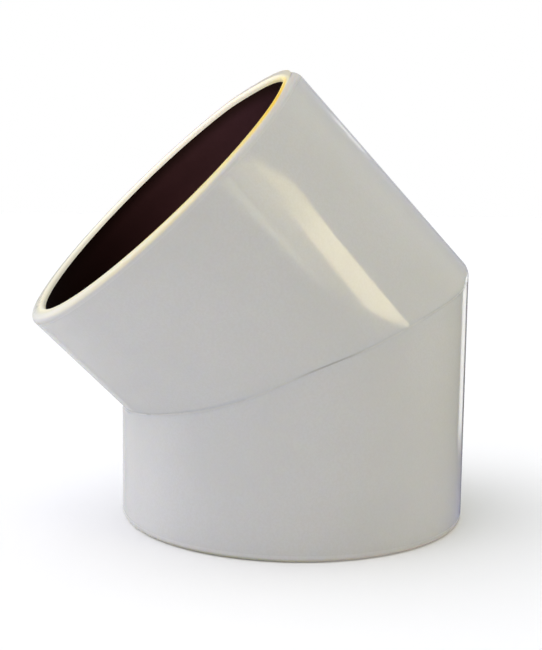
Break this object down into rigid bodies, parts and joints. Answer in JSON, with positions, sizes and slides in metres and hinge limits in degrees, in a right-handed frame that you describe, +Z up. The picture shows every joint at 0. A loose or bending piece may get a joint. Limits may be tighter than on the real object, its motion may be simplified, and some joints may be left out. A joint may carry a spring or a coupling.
{
  "type": "pvc conduit elbow",
  "caption": "Rigid plastic conduit elbow with a 45 degree mitred bend, a rounded pale shell and dark-lined sockets that join straight lengths of cable conduit.",
  "frame": {"origin": "centre of the lower socket's mouth, in the plane of its lip", "axes": "+Z up the lower leg's axis into the fitting; the bend lies in the XZ plane and the upper leg leans towards -X; +Y across the bend"},
  "size_m": [0.0836, 0.0668, 0.0859],
  "materials": {
    "shell": "ivory grey-white PVC, smooth gloss",
    "liner": "dark brown-black PVC, satin",
    "cement": "dried clear cement film, greyed, gloss"
  },
  "bodies": {
    "root": {"lower_shell": "shell", "upper_shell": "shell", "lower_liner": "liner", "upper_liner": "liner", "mitre_weld": "cement"}
  },
  "joints": []
}
